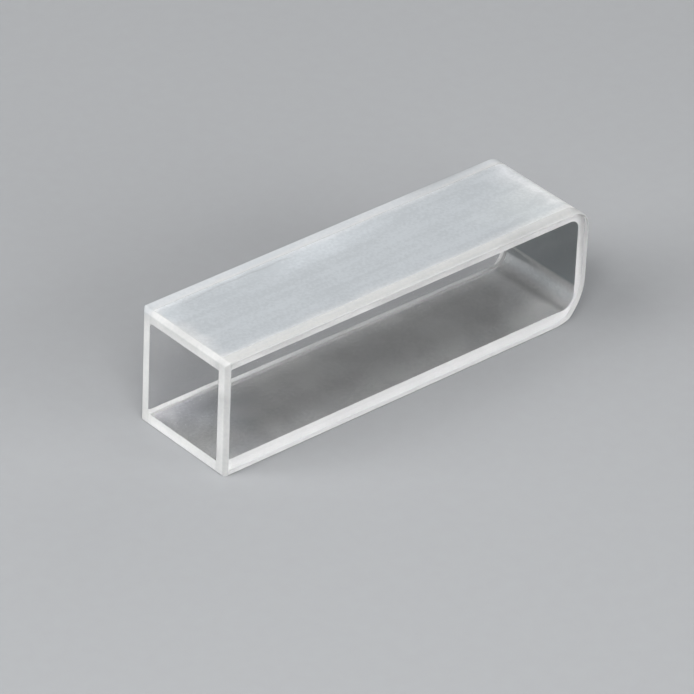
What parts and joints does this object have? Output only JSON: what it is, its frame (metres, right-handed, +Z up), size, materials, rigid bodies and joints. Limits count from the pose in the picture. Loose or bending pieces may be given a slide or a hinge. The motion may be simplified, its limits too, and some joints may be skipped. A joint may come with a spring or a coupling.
{
  "type": "cuvette",
  "caption": "Square glass cell, open at one end, with frosted side walls and clear polished windows facing each other.",
  "frame": {"origin": "centre of the footprint of the cell as it lies on its lower frosted wall", "axes": "+X along the cell from the open mouth to the closed base, +Y through the windows from front to rear, +Z up from the lower frosted wall to the upper one"},
  "size_m": [0.045, 0.0126, 0.0125],
  "materials": {
    "frosted_glass": "ground matt outside, polished inside the well",
    "polished_glass": "optically polished faces, ground edges"
  },
  "bodies": {
    "root": {"u_frame": "frosted_glass", "front_window": "polished_glass", "rear_window": "polished_glass"}
  },
  "joints": []
}
